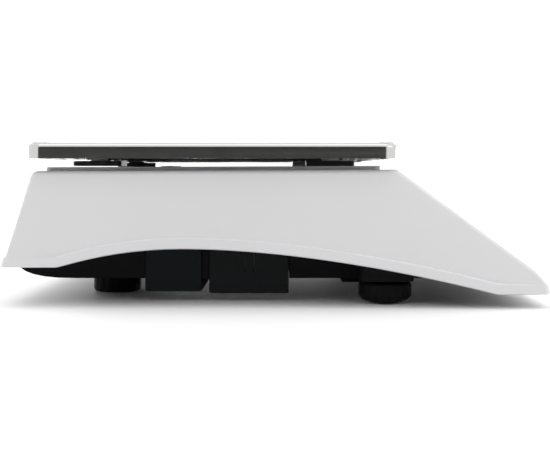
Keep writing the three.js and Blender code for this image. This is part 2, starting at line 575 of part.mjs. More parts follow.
function buildPrinter() {
  const idler = idlerPlace();
  const toIdler = Math.atan2(idler[1] - MOTOR.n, idler[0] - MOTOR.s);
  const toPlaten = Math.atan2(PLATEN.n - idler[1], PLATEN.s - idler[0]);
  const idlerPhase = meshedPhase(TEETH.pinion, 0, toIdler, TEETH.idler);
  const platenPhase = meshedPhase(TEETH.idler, idlerPhase, toPlaten, TEETH.platen);
  add('printer_frame', printerFrame(idler), BLACK, slope);
  add('printer_lid', printerLid(), WHITE, slope);
  add('lid_hinge_pin', rod(LID_HINGE.pin, LID_HINGE.s, LID_HINGE.n, [69.6, 136.4], 12), STEEL, slope);
  const sleeve = solid(rod(PLATEN.radius, PLATEN.s, PLATEN.n, PLATEN.y));
  const bore = solid(rod(PLATEN.shaft + 0.1, PLATEN.s, PLATEN.n, [70, 140]));
  add('platen_roller', sleeve.subtract(bore), RUBBER, slope);
  add('platen_shaft', rod(PLATEN.shaft, PLATEN.s, PLATEN.n, [69.6, 133.6]), STEEL, slope);
  add('platen_gear', gear(TEETH.platen, PLATEN.s, PLATEN.n, platenPhase, PLATEN.shaft + 0.1), WHITE, slope);
  add('idler_gear', gear(TEETH.idler, idler[0], idler[1], idlerPhase, 1.7), WHITE, slope);
  const motor = solid(rod(MOTOR.radius, MOTOR.s, MOTOR.n, [50, 65.7]));
  add('stepper_motor', motor.add(solid(rod(1, MOTOR.s, MOTOR.n, [60, 73.4], 12))), STEEL, slope);
  add('motor_pinion', gear(TEETH.pinion, MOTOR.s, MOTOR.n, 0, 1.3), BRASS, slope);
  add('thermal_head', block({ x: [80.9, 84.2], y: [80, 130], z: [-19, -4.6] }), ALUMINIUM, slope);
  add('tear_bar', block({ x: [84.6, 86], y: [77, 133], z: [-2.8, -0.6] }), STEEL, slope);
  const roll = solid(rod(ROLL.radius, ROLL.s, ROLL.n, ROLL.y, 32));
  const hollow = solid(rod(ROLL.core, ROLL.s, ROLL.n, [70, 140]));
  add('label_roll', roll.subtract(hollow), PAPER, slope);
  const tube = solid(rod(ROLL.core - GAP, ROLL.s, ROLL.n, ROLL.y));
  const eye = solid(rod(ROLL.core - 1.8, ROLL.s, ROLL.n, [70, 140]));
  add('roll_core', tube.subtract(eye), CARD, slope);
  const cap = { ...BUTTON, z: [-4.5, 1.6] };
  add('lid_release_button', roundedPlate(cap, 2, 0.6), BUTTON_GREY, slope);
}

add('top_cover', topCover(), WHITE);
add('base_tray', baseTray(), BLACK);
buildPower();
buildRocker();
buildWeighing();
buildFeetAndScrews();
buildElectronics();
buildPrinter();

export default part;
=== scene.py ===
# %% [markdown]
# # A label printing scale, finished around its frame
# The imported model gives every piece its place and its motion. This lesson adds what the eye
# looks for: the soft moulded edges, the brushed pan, the printed keypad and the paper roll.

# %% Load the frame
import math
import bmesh
import bpy
from mathutils import Matrix, Vector
from mathutils.geometry import interpolate_bezier


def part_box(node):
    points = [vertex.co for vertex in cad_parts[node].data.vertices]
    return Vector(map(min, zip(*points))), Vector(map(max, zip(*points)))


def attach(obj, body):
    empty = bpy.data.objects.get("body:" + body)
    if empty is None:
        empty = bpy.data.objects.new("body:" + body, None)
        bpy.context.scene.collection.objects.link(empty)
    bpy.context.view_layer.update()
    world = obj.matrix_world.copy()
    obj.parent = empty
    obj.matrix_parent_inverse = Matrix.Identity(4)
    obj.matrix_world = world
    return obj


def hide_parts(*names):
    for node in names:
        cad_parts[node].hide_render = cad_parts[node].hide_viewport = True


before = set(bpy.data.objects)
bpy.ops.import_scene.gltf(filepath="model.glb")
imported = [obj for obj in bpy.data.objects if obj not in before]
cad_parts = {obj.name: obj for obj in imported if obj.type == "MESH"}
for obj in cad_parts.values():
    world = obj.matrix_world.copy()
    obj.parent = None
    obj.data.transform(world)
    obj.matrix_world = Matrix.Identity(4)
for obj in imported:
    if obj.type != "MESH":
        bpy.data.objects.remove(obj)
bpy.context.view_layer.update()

MM = 0.001

# %% [markdown]
# ## The camera
# The scale is looked at square on from the operator's left, just below the height of the pan.
# A real product camera stands still and slides its lens to frame the object, so the view
# stays level and the verticals stay vertical. Shift does the same here.

# %% Set up the camera
SCENE = bpy.context.scene
EYE = Vector((6.3 * MM, -813 * MM, 90 * MM))
camera_data = bpy.data.cameras.new("studio_camera")
camera_data.sensor_width = 36
camera_data.lens = 63.5
camera_data.shift_x = -0.0164
camera_data.shift_y = -0.1
camera = bpy.data.objects.new("studio_camera", camera_data)
camera.location = EYE
camera.rotation_euler = (math.radians(90), 0, 0)
SCENE.collection.objects.link(camera)
SCENE.camera = camera
SCENE.view_settings.view_transform = "Standard"
print("camera", round(-EYE.y / MM), "mm in front of the scale's middle")

# %% [markdown]
# ## Three shared surfaces
# Most of the scale is moulded plastic. A mould leaves a very fine grain and a gloss that
# drifts a little across a large face, so one node group makes both and every plastic reuses
# it. Rolled sheet has long straight streaks instead, and a circuit board has fine tracks.
# Each effect is a group, so that it is written once and only its numbers change.

# %% Node group helpers
def new_group(name, inputs):
    """A shader group with the given inputs, and the same three outputs for every surface."""
    group = bpy.data.node_groups.new(name, "ShaderNodeTree")
    for label, kind, value in inputs:
        socket = group.interface.new_socket(label, in_out="INPUT", socket_type=kind)
        socket.default_value = value
    for label, kind in (("Base Color", "NodeSocketColor"), ("Roughness", "NodeSocketFloat"),
                        ("Bump Height", "NodeSocketFloat")):
        group.interface.new_socket(label, in_out="OUTPUT", socket_type=kind)
    nodes = group.nodes
    return group, nodes.new("NodeGroupInput"), nodes.new("NodeGroupOutput")


def noise_in(group, scale, detail=2.0, stretch=(1, 1, 1)):
    """Noise over object coordinates, stretched along the axes."""
    place = group.nodes.new("ShaderNodeTexCoord")
    mapping = group.nodes.new("ShaderNodeMapping")
    mapping.inputs["Scale"].default_value = stretch
    noise = group.nodes.new("ShaderNodeTexNoise")
    noise.inputs["Scale"].default_value = scale
    noise.inputs["Detail"].default_value = detail
    group.links.new(place.outputs["Object"], mapping.inputs["Vector"])
    group.links.new(mapping.outputs["Vector"], noise.inputs["Vector"])
    return noise


def tinted(group, colour, factor, share):
    """The colour, darkened by a share of itself where the factor is low."""
    ramp = group.nodes.new("ShaderNodeMapRange")
    ramp.inputs["To Min"].default_value = 1 - share
    ramp.inputs["To Max"].default_value = 1
    scaled = group.nodes.new("ShaderNodeVectorMath")
    scaled.operation = "SCALE"
    group.links.new(factor, ramp.inputs["Value"])
    group.links.new(colour, scaled.inputs[0])
    group.links.new(ramp.outputs["Result"], scaled.inputs["Scale"])
    return scaled.outputs["Vector"]


def shifted(group, base, factor, reach):
    """A number moved up and down by a factor that runs from 0 to 1."""
    add = group.nodes.new("ShaderNodeMath")
    add.operation = "MULTIPLY_ADD"
    add.inputs[1].default_value = reach
    group.links.new(factor, add.inputs[0])
    group.links.new(base, add.inputs[2])
    return add.outputs["Value"]


# %% The moulded plastic group
BASIC_INPUTS = [("Colour", "NodeSocketColor", (0.8, 0.8, 0.8, 1)),
                ("Gloss", "NodeSocketFloat", 0.4)]


def moulded_group():
    group, given, made = new_group("moulded_plastic", BASIC_INPUTS)
    drift = noise_in(group, 9, 3)
    grain = noise_in(group, 1400, 1)
    link = group.links.new
    link(tinted(group, given.outputs["Colour"], drift.outputs["Fac"], 0.05), made.inputs["Base Color"])
    link(shifted(group, given.outputs["Gloss"], drift.outputs["Fac"], 0.08), made.inputs["Roughness"])
    link(grain.outputs["Fac"], made.inputs["Bump Height"])
    return group


MOULDED = moulded_group()
print("surface group", MOULDED.name)

# %% The rolled and machined metal group
def streaked_group():
    group, given, made = new_group("streaked_metal", BASIC_INPUTS)
    streaks = noise_in(group, 320, 4, (0.012, 1, 1))
    patches = noise_in(group, 7, 2)
    link = group.links.new
    link(tinted(group, given.outputs["Colour"], patches.outputs["Fac"], 0.06), made.inputs["Base Color"])
    link(shifted(group, given.outputs["Gloss"], streaks.outputs["Fac"], 0.12), made.inputs["Roughness"])
    link(streaks.outputs["Fac"], made.inputs["Bump Height"])
    return group


STREAKED = streaked_group()
print("surface group", STREAKED.name)

# %% The circuit board group
def board_group():
    group, given, made = new_group("circuit_board", BASIC_INPUTS)
    place = group.nodes.new("ShaderNodeTexCoord")
    tracks = group.nodes.new("ShaderNodeTexBrick")
    tracks.inputs["Scale"].default_value = 120
    tracks.inputs["Mortar Size"].default_value = 0.06
    tracks.inputs["Color1"].default_value = (1, 1, 1, 1)
    tracks.inputs["Color2"].default_value = (0.72, 0.72, 0.72, 1)
    tracks.inputs["Mortar"].default_value = (0.2, 0.2, 0.2, 1)
    link = group.links.new
    link(place.outputs["Object"], tracks.inputs["Vector"])
    link(tinted(group, given.outputs["Colour"], tracks.outputs["Color"], 0.5), made.inputs["Base Color"])
    link(shifted(group, given.outputs["Gloss"], tracks.outputs["Fac"], 0.2), made.inputs["Roughness"])
    link(tracks.outputs["Fac"], made.inputs["Bump Height"])
    return group


BOARD = board_group()
print("surface group", BOARD.name)

# %% Finishes made from the groups
def finish(name, group, colour, gloss, bump, **shader_values):
    """A material whose colour, roughness and relief come from one of the groups."""
    material = bpy.data.materials.new(name)
    material.use_nodes = True
    nodes = material.node_tree.nodes
    shader = nodes["Principled BSDF"]
    surface = nodes.new("ShaderNodeGroup")
    surface.node_tree = group
    surface.inputs["Colour"].default_value = (*colour, 1)
    surface.inputs["Gloss"].default_value = gloss
    relief = nodes.new("ShaderNodeBump")
    relief.inputs["Strength"].default_value = bump
    relief.inputs["Distance"].default_value = 0.05 * MM
    link = material.node_tree.links.new
    link(surface.outputs["Base Color"], shader.inputs["Base Color"])
    link(surface.outputs["Roughness"], shader.inputs["Roughness"])
    link(surface.outputs["Bump Height"], relief.inputs["Height"])
    link(relief.outputs["Normal"], shader.inputs["Normal"])
    for socket, value in shader_values.items():
        shader.inputs[socket.replace("_", " ")].default_value = value
    return material


COVER_WHITE = finish("cover_white", MOULDED, (0.79, 0.79, 0.80), 0.36, 0.12)
BASE_BLACK = finish("base_black", MOULDED, (0.004, 0.004, 0.005), 0.6, 0.2, Specular_IOR_Level=0.12)
DARK_GREY = finish("battery_box_grey", MOULDED, (0.007, 0.008, 0.009), 0.55, 0.2, Specular_IOR_Level=0.15)
BLUE_BLACK = finish("power_box_blue_black", MOULDED, (0.003, 0.006, 0.008), 0.5, 0.2, Specular_IOR_Level=0.15)
FITTING_BLACK = finish("fitting_black", MOULDED, (0.008, 0.008, 0.009), 0.22, 0.05)
FRAME_BLACK = finish("frame_black", MOULDED, (0.05, 0.05, 0.052), 0.45, 0.5)
RUBBER_BLACK = finish("foot_rubber", MOULDED, (0.004, 0.004, 0.004), 0.6, 0.4, Specular_IOR_Level=0.12)
RUBBER_GREY = finish("cushion_grey", MOULDED, (0.55, 0.56, 0.55), 0.7, 0.3)
ROLLER_BLACK = finish("platen_rubber", MOULDED, (0.012, 0.012, 0.012), 0.6, 0.2)
BUTTON_GREY = finish("button_grey", MOULDED, (0.10, 0.11, 0.12), 0.35, 0.1)
ACETAL = finish("gear_plastic", MOULDED, (0.72, 0.72, 0.69), 0.35, 0.05)
CASE_GREY = finish("battery_case", MOULDED, (0.045, 0.05, 0.055), 0.4, 0.3)
PAPER = finish("label_paper", MOULDED, (0.84, 0.83, 0.79), 0.65, 0.3)
CARD = finish("roll_card", MOULDED, (0.40, 0.29, 0.17), 0.75, 0.6)
OVERLAY = finish("keypad_print", MOULDED, (0.62, 0.66, 0.70), 0.38, 0.3)
STAINLESS = finish("stainless", STREAKED, (0.62, 0.62, 0.61), 0.10, 0.3, Metallic=1.0)
PLATED = finish("plated_steel", STREAKED, (0.58, 0.58, 0.57), 0.22, 0.1, Metallic=1.0)
ALUMINIUM = finish("cast_aluminium", STREAKED, (0.56, 0.57, 0.58), 0.3, 0.2, Metallic=1.0)
MOTOR_STEEL = finish("motor_steel", STREAKED, (0.38, 0.38, 0.38), 0.28, 0.1, Metallic=1.0)
PORT_METAL = finish("port_metal", STREAKED, (0.46, 0.46, 0.46), 0.25, 0.1, Metallic=1.0)
BRASS = finish("brass", STREAKED, (0.60, 0.43, 0.16), 0.25, 0.1, Metallic=1.0)
CORE = finish("transformer_core", STREAKED, (0.09, 0.07, 0.05), 0.5, 0.6, Metallic=0.6)
BOARD_GREEN = finish("board_green", BOARD, (0.02, 0.15, 0.06), 0.3, 0.4)
GLASS_GREEN = finish("display_glass", MOULDED, (0.30, 0.36, 0.27), 0.12, 0.02)
SMOKED = finish("smoked_window", MOULDED, (0.42, 0.47, 0.44), 0.02, 0.01, Transmission_Weight=0.95)
VIAL = finish("vial_amber", MOULDED, (0.70, 0.52, 0.10), 0.03, 0.01, Transmission_Weight=0.7)
LEGEND = finish("legend_ink", MOULDED, (0.02, 0.03, 0.05), 0.5, 0.05)
print(len(bpy.data.materials), "finishes")

# %% Dress the pieces whose shape is already right
NODE_FINISHES = {
    "base_tray": BASE_BLACK, "battery_bay": BASE_BLACK, "battery": CASE_GREY,
    "transformer": CORE, "power_board": BOARD_GREEN, "main_board": BOARD_GREEN,
    "front_board": BOARD_GREEN, "rear_board": BOARD_GREEN, "mains_inlet": FITTING_BLACK,
    "switch_housing": FITTING_BLACK, "data_port": PORT_METAL, "power_rocker": FITTING_BLACK,
    "load_cell": ALUMINIUM, "load_cell_bracket": PLATED, "platform_spacer": ALUMINIUM,
    "platform_frame": FRAME_BLACK, "buzzer": FITTING_BLACK, "level_vial": VIAL,
    "front_display": GLASS_GREEN, "rear_display": GLASS_GREEN, "printer_frame": BASE_BLACK,
    "lid_hinge_pin": PLATED, "platen_roller": ROLLER_BLACK, "platen_shaft": PLATED,
    "platen_gear": ACETAL, "idler_gear": ACETAL, "stepper_motor": MOTOR_STEEL,
    "motor_pinion": BRASS, "thermal_head": ALUMINIUM, "tear_bar": PLATED,
    "label_roll": PAPER, "roll_core": CARD, "power_box": BLUE_BLACK,
    "top_cover": COVER_WHITE, "battery_cover": DARK_GREY, "platter": STAINLESS,
    "keypad_overlay": OVERLAY, "front_window": SMOKED, "rear_window": SMOKED,
    "printer_lid": COVER_WHITE, "lid_release_button": BUTTON_GREY,
}
for number in range(1, 5):
    NODE_FINISHES[f"case_screw_{number}"] = PLATED
for end in ("front", "rear"):
    for number in (1, 2):
        NODE_FINISHES[f"cell_bolt_{end}_{number}"] = PLATED
    for side in ("left", "right"):
        NODE_FINISHES[f"foot_{end}_{side}"] = RUBBER_BLACK
        NODE_FINISHES[f"cushion_{end}_{side}"] = RUBBER_GREY


def dress(node, material):
    """Gives a frame piece its finish in place of the flat colour it was packed with."""
    materials = bpy.data.objects[node].data.materials
    for index in range(len(materials)):
        materials[index] = material
    if not materials:
        materials.append(material)


for node, material in NODE_FINISHES.items():
    dress(node, material)
print(len(NODE_FINISHES), "frame pieces dressed")

# %% [markdown]
# ## A few modelling helpers
# Most pieces here are either boxes with rounded edges or turned rounds. Both are made as
# small closed forms and then joined, so each form can be bevelled before it meets the next.

# %% Forms
def joined(*forms):
    """One bmesh that holds several, each of them freed."""
    whole = bmesh.new()
    for form in forms:
        data = bpy.data.meshes.new("form")
        form.to_mesh(data)
        form.free()
        whole.from_mesh(data)
        bpy.data.meshes.remove(data)
    return whole


def softened(bm, edges, radius, segments=4):
    """Rounds the given edges."""
    return bmesh.ops.bevel(bm, geom=list(edges), offset=radius, segments=segments, profile=0.5,
                           affect="EDGES", material=-1, clamp_overlap=True)


def along(edge, axis):
    """Whether an edge runs along an axis."""
    return abs((edge.verts[1].co - edge.verts[0].co).normalized()[axis]) > 0.999


def rounded_block(x, y, z, corner=0, rim=0, segments=4, upright=2):
    """A cuboid with rounded corners seen along one axis, and rounded rims."""
    bm = bmesh.new()
    verts = bmesh.ops.create_cube(bm, size=1)["verts"]
    bmesh.ops.scale(bm, verts=verts, vec=(x[1] - x[0], y[1] - y[0], z[1] - z[0]))
    bmesh.ops.translate(bm, verts=verts, vec=(sum(x) / 2, sum(y) / 2, sum(z) / 2))
    if corner:
        softened(bm, [e for e in bm.edges if along(e, upright)], corner, segments)
    if rim:
        bm.normal_update()
        caps = [f for f in bm.faces if abs(f.normal[upright]) > 0.999]
        softened(bm, {e for f in caps for e in f.edges}, rim, max(2, segments // 2))
    return bm


def turned(profile, steps=48):
    """A round piece on the upright axis, spun from [radius, height] pairs."""
    bm = bmesh.new()
    verts = [bm.verts.new((r, 0, h)) for r, h in profile]
    edges = [bm.edges.new(pair) for pair in zip(verts, verts[1:])]
    bmesh.ops.spin(bm, geom=verts + edges, cent=(0, 0, 0), axis=(0, 0, 1),
                   angle=math.tau, steps=steps, use_merge=True)
    bmesh.ops.remove_doubles(bm, verts=bm.verts, dist=1e-4)
    return bm


def moved(bm, x=0, y=0, z=0):
    bmesh.ops.translate(bm, verts=bm.verts, vec=(x, y, z))
    return bm


def placed(bm, matrix):
    bm.transform(matrix)
    return bm


# %% From a form to a piece of the scale
def crease(bm, degrees):
    """Shades every face smooth, and keeps a hard line where faces meet at a clear angle."""
    limit = math.radians(degrees)
    for face in bm.faces:
        face.smooth = True
    for edge in bm.edges:
        if len(edge.link_faces) == 2:
            edge.smooth = edge.calc_face_angle(0) < limit


def walled(bm, wall):
    """Gives an open form a wall of even thickness, inwards from its surface."""
    data = bpy.data.meshes.new("open_form")
    bm.to_mesh(data)
    bm.clear()
    holder = bpy.data.objects.new("open_form", data)
    SCENE.collection.objects.link(holder)
    shell = holder.modifiers.new("wall", "SOLIDIFY")
    shell.thickness = wall
    shell.offset = -1
    finished = holder.evaluated_get(bpy.context.evaluated_depsgraph_get())
    bm.from_mesh(finished.to_mesh())
    bpy.data.objects.remove(holder)
    bpy.data.meshes.remove(data)


def publish(name, bm, body, stands_for, material, degrees=35, wall=0):
    """Turns a form in millimetres into a finished piece that rides on its body."""
    bmesh.ops.recalc_face_normals(bm, faces=bm.faces)
    if wall:
        walled(bm, wall)
    crease(bm, degrees)
    bm.transform(Matrix.Scale(MM, 4))
    data = bpy.data.meshes.new(name)
    bm.to_mesh(data)
    bm.free()
    data.materials.append(material)
    piece = bpy.data.objects.new(name, data)
    SCENE.collection.objects.link(piece)
    weighted = piece.modifiers.new("even_shading", "WEIGHTED_NORMAL")
    weighted.keep_sharp = True
    weighted.weight = 100
    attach(piece, body)
    if stands_for:
        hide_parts(*stands_for)
    print(name, len(data.polygons), "faces")
    return piece


# %% The three flat faces that carry the openings
SLOPE_ANGLE = math.radians(36.72)
REAR_LEAN = 0.2495
REAR_FOOT = (-177, 33.7)


class Face:
    """A flat face of the cover: u and v lie in it, n points out of it."""

    def __init__(self, origin, u, n):
        self.origin, self.u, self.v, self.n = Vector(origin), Vector(u), Vector((0, 1, 0)), Vector(n)

    def matrix(self):
        """Takes a form built with u, v and n as its x, y and z to its place on the scale."""
        columns = Matrix((self.u, self.v, self.n)).transposed().to_4x4()
        return Matrix.Translation(self.origin) @ columns

    def local(self, point):
        away = point - self.origin
        return away.dot(self.u), away.dot(self.v)


rear_tilt = math.atan(REAR_LEAN)
SLOPE = Face((89.2, 0, 85.3), (math.cos(SLOPE_ANGLE), 0, -math.sin(SLOPE_ANGLE)),
             (math.sin(SLOPE_ANGLE), 0, math.cos(SLOPE_ANGLE)))
REAR = Face((REAR_FOOT[0], 0, REAR_FOOT[1]), (math.sin(rear_tilt), 0, math.cos(rear_tilt)),
            (-math.cos(rear_tilt), 0, math.sin(rear_tilt)))
TOP = Face((0, 0, 89.9), (1, 0, 0), (0, 0, 1))
print("slope leans", round(math.degrees(SLOPE_ANGLE), 1), "degrees; rear face",
      round(math.degrees(rear_tilt), 1))

# %% [markdown]
# ## The moulded cover
# The cover is one thin white shell with softly rounded long edges. Its lower edge arches over
# the fittings, and a narrow lip stands out all along it. A moulded shell like this is best
# built from its side outline: draw one side, pull it across the width, round the outline,
# then draft the sides inwards as the mould needs. The openings come after, while every face
# is still flat.

# %% The side outline
COVER_HALF = 183.8
DRAFT = 0.00148
DRAFT_FROM = 10
COVER_EDGE = 8
COVER_WALL = 2.6
LIP_RISE = 6
LIP_STEP = 0.9
LIP_PROUD = 1.2
ARCH_REAR_Z = 26.8
ARCH_PEAK_Z = 38.6
NOSE_X = 178.7
NOSE_Z = 9.6
TOP_Z = 89.3


def curve(a, b, c, d, steps):
    """Points along a curve from a to d that leaves towards b and arrives from c."""
    flat = [Vector((x, 0, z)) for x, z in (a, b, c, d)]
    return [(p.x, p.z) for p in interpolate_bezier(*flat, steps + 1)]


def rear_x(z):
    """Where the leaning rear face is at a height."""
    return REAR_FOOT[0] + (z - REAR_FOOT[1]) * REAR_LEAN


def at_height(points, z):
    """Where a rising chain of points passes a height."""
    for (xa, za), (xb, zb) in zip(points, points[1:]):
        if za <= z <= zb:
            return xa + (xb - xa) * (z - za) / (zb - za)


ARCH = (curve((-143, ARCH_REAR_Z), (-138, 27.3), (-108, ARCH_PEAK_Z), (-61, ARCH_PEAK_Z), 12)
        + curve((-61, ARCH_PEAK_Z), (0, ARCH_PEAK_Z), (75, 27), (144.9, NOSE_Z), 18)[1:])
NOSE = curve((NOSE_X, 11), (NOSE_X, 17.5), (173.5, 22.4), (166, 28), 10)


def lower_chain(rise):
    """The arched edge from rear to nose, raised by a height."""
    rear_z, nose_z = ARCH_REAR_Z + rise, NOSE_Z + rise
    nose_x = at_height([(NOSE_X, 9), *NOSE], nose_z)
    return [(rear_x(rear_z), rear_z), *[(x, z + rise) for x, z in ARCH], (nose_x, nose_z)]


def arch_height(x):
    """The height of the arched edge at a place along the scale."""
    chain = [(-400, ARCH_REAR_Z), *ARCH, (400, NOSE_Z)]
    for (xa, za), (xb, zb) in zip(chain, chain[1:]):
        if xa <= x <= xb:
            return za + (zb - za) * (x - xa) / (xb - xa)


def upper_chain():
    """From the nose up the slope, over the top and down the rear."""
    start = LIP_RISE + LIP_STEP + NOSE_Z
    front_corner = curve((84.3, 88.98), (82.6, 90.25), (82.6, 90.25), (80.5, 90.24), 4)
    rear_corner = curve((-158.6, TOP_Z), (-162.2, TOP_Z), (-163.9, 87.2), (rear_x(83), 83), 8)
    return [p for p in NOSE if p[1] > start + 0.4] + front_corner + rear_corner


print(len(ARCH), "points along the arch,", len(upper_chain()), "over the top")

# %% One side, pulled across and rounded
def cover_body():
    bm = bmesh.new()
    rows = [[bm.verts.new((x, -COVER_HALF, z)) for x, z in lower_chain(rise)]
            for rise in (0, LIP_RISE, LIP_RISE + LIP_STEP)]
    for low, high in zip(rows, rows[1:]):
        for i in range(len(low) - 1):
            bm.faces.new((low[i], low[i + 1], high[i + 1], high[i]))
    over = [bm.verts.new((x, -COVER_HALF, z)) for x, z in upper_chain()]
    bm.faces.new(rows[2] + over)
    wide = bmesh.ops.extrude_face_region(bm, geom=list(bm.faces))["geom"]
    far = [g for g in wide if isinstance(g, bmesh.types.BMVert)]
    bmesh.ops.translate(bm, verts=far, vec=(0, 2 * COVER_HALF, 0))
    under = [f for f in bm.faces if abs(f.calc_center_median().y) < 1
             and f.calc_center_median().z < arch_height(f.calc_center_median().x) + 1]
    bmesh.ops.delete(bm, geom=under, context="FACES")
    bmesh.ops.recalc_face_normals(bm, faces=bm.faces)
    outline = [e for e in bm.edges if len(e.link_faces) == 2
               and sum(abs(f.normal.y) > 0.99 for f in e.link_faces) == 1]
    softened(bm, outline, COVER_EDGE, 7)
    return bm


def draft(bm):
    """Leans the sides inwards, as a mould needs."""
    for vert in bm.verts:
        vert.co.y *= 1 - DRAFT * (vert.co.z - DRAFT_FROM)


def push_lip(bm):
    """Stands the lowest band of the cover out, all the way round."""
    bm.normal_update()
    band = [v for v in bm.verts if v.co.z < arch_height(v.co.x) + LIP_RISE + LIP_STEP / 2]
    pushes = [(v, Vector((v.normal.x, v.normal.y, 0)).normalized() * LIP_PROUD) for v in band]
    for vert, push in pushes:
        vert.co += push
    return len(band)


shell = cover_body()
draft(shell)
print(push_lip(shell), "points in the lip;", len(shell.faces), "faces in the shell")

# %% [markdown]
# ## Openings in the cover
# A flat face is opened in three moves: slice it into a grid along the sides of the opening,
# melt the cells of the opening back into one face, and push that face in. Slicing only the
# flat face keeps the rounded edges around it whole, which a cut through the entire shell
# would not do.

# %% Slicing and sinking
def split(bm, faces, point, normal):
    """Slices faces with a plane and returns everything that now stands in their place."""
    edges = {e for f in faces for e in f.edges}
    verts = {v for f in faces for v in f.verts}
    cut = bmesh.ops.bisect_plane(bm, geom=[*verts, *edges, *faces], plane_co=point,
                                 plane_no=normal, dist=1e-5)
    return [g for g in cut["geom"] if isinstance(g, bmesh.types.BMFace)]


def inside(faces, face, u, v):
    """The faces whose middle is inside a rectangle on a face of the cover."""
    found = []
    for f in faces:
        at_u, at_v = face.local(f.calc_center_median())
        if u[0] < at_u < u[1] and v[0] < at_v < v[1]:
            found.append(f)
    return found


def flat_faces(bm, face, offset=0):
    """Every face of the shell that lies in the plane of a face, or at a height above it."""
    return [f for f in bm.faces if f.normal.dot(face.n) > 0.9999
            and abs((f.calc_center_median() - face.origin).dot(face.n) - offset) < 0.5]


def upright_corners(bm, face, u, v):
    """The edges that run into a face at the four corners of a rectangle on it."""
    corners = []
    for edge in bm.edges:
        if abs((edge.verts[1].co - edge.verts[0].co).normalized().dot(face.n)) < 0.999:
            continue
        at_u, at_v = face.local(edge.verts[0].co)
        near_u = min(abs(at_u - u[0]), abs(at_u - u[1])) < 0.01
        near_v = min(abs(at_v - v[0]), abs(at_v - v[1])) < 0.01
        if near_u and near_v:
            corners.append(edge)
    return corners


def opened(bm, face, u, v, sink, radius=0, rim=0, through=False, offset=0):
    """Makes a rectangular pocket, or a raised pad if sink is negative.

    The offset says how far above the face the opened plane lies, for a hole in a pad or a pocket.
    """
    faces = flat_faces(bm, face, offset)
    for at, normal in ((u[0], face.u), (u[1], face.u), (v[0], face.v), (v[1], face.v)):
        faces = split(bm, faces, face.origin + normal * at, normal)
    faces = inside(faces, face, u, v)
    if len(faces) > 1:
        faces = bmesh.ops.dissolve_faces(bm, faces=faces)["region"]
    grown = bmesh.ops.extrude_face_region(bm, geom=faces)["geom"]
    verts = [g for g in grown if isinstance(g, bmesh.types.BMVert)]
    floor = [g for g in grown if isinstance(g, bmesh.types.BMFace)]
    bmesh.ops.translate(bm, verts=verts, vec=face.n * -sink)
    bmesh.ops.delete(bm, geom=faces, context="FACES_ONLY")
    bm.normal_update()
    if radius:
        softened(bm, upright_corners(bm, face, u, v), radius, 4)
        bm.normal_update()
        floor = inside(flat_faces(bm, face, offset - sink), face, u, v)
    if rim:
        softened(bm, {e for f in floor for e in f.edges}, rim, 3)
        bm.normal_update()
        floor = inside(flat_faces(bm, face, offset - sink), face, u, v)
    if through:
        bmesh.ops.delete(bm, geom=floor, context="FACES")
    return bm


# %% Open the cover
DECK_RISE = 2.6
HOLE_SINK = 2.4
LEDGE_SINK = 1.6
KEYPAD_SINK = 1.2
RAISED_DECK = ((-157.6, 73), (-148, 148))
POST_HOLE = ((4, 56), (-24, 24))
LEVEL_HOLE = ((-83.6, -66.4), (-128.6, -111.4))
FRONT_LEDGE = ((4, 34), (-140, 50))
FRONT_VIEW = ((7.5, 30.5), (-130, 40))
KEYPAD_POCKET = ((40, 92), (-148, 56))
PRINTER_HOLE = ((6, 86), (68, 138))
BUTTON_HOLE = ((59.6, 72.4), (141.6, 150.4))
REAR_LEDGE = ((12, 38), (-85, 85))
REAR_VIEW = ((15.5, 34.5), (-78, 78))

opened(shell, TOP, *RAISED_DECK, -DECK_RISE, 5, 1.2)
opened(shell, TOP, *POST_HOLE, HOLE_SINK, 6, through=True, offset=DECK_RISE)
opened(shell, TOP, *LEVEL_HOLE, HOLE_SINK, 8.4, through=True, offset=DECK_RISE)
opened(shell, SLOPE, *FRONT_LEDGE, LEDGE_SINK, 2.5)
opened(shell, SLOPE, *FRONT_VIEW, LEDGE_SINK, 2, through=True, offset=-LEDGE_SINK)
opened(shell, SLOPE, *KEYPAD_POCKET, KEYPAD_SINK, 3)
opened(shell, SLOPE, *PRINTER_HOLE, HOLE_SINK, 2, through=True)
opened(shell, SLOPE, *BUTTON_HOLE, HOLE_SINK, 2, through=True)
opened(shell, REAR, *REAR_LEDGE, LEDGE_SINK, 2.5)
opened(shell, REAR, *REAR_VIEW, LEDGE_SINK, 2, through=True, offset=-LEDGE_SINK)
publish("moulded_cover", shell, "housing", ["top_cover"], COVER_WHITE, 28, COVER_WALL)

# %% [markdown]
# ## The stainless pan
# The pan is one sheet of steel folded down on all four sides. The fold leaves a rounded
# shoulder, which is where the steel shows its brightest line, and a low ridge is pressed up
# at the front and the rear so that goods don't slide off. The sheet is made as a lidless
# box, so the underside is as thin as real sheet.

# %% The pan
PAN_X = (-167, 83)
PAN_Y = (-167.5, 167.5)
PAN_Z = (97.6, 107.7)
PAN_STEEL = 1
RIDGE_INSET = 7
RIDGE_HALF = (5, 157)


def top_faces(bm):
    bm.normal_update()
    highest = max(v.co.z for v in bm.verts)
    return [f for f in bm.faces if f.calc_center_median().z > highest - 0.01]


def stepped(bm, inset, rise):
    """Insets the top face and lifts or lowers it."""
    top = top_faces(bm)
    bmesh.ops.inset_region(bm, faces=top, thickness=inset, use_even_offset=True)
    bmesh.ops.translate(bm, verts=list({v for f in top for v in f.verts}), vec=(0, 0, rise))


def pan_sheet():
    bm = rounded_block(PAN_X, PAN_Y, PAN_Z, 12, segments=8)
    bm.normal_update()
    bmesh.ops.delete(bm, geom=[f for f in bm.faces if f.normal.z < -0.9], context="FACES_ONLY")
    softened(bm, {e for f in top_faces(bm) for e in f.edges}, 2.8, 6)
    stepped(bm, 0.5, 0.35)
    stepped(bm, 1.1, 0)
    return bm


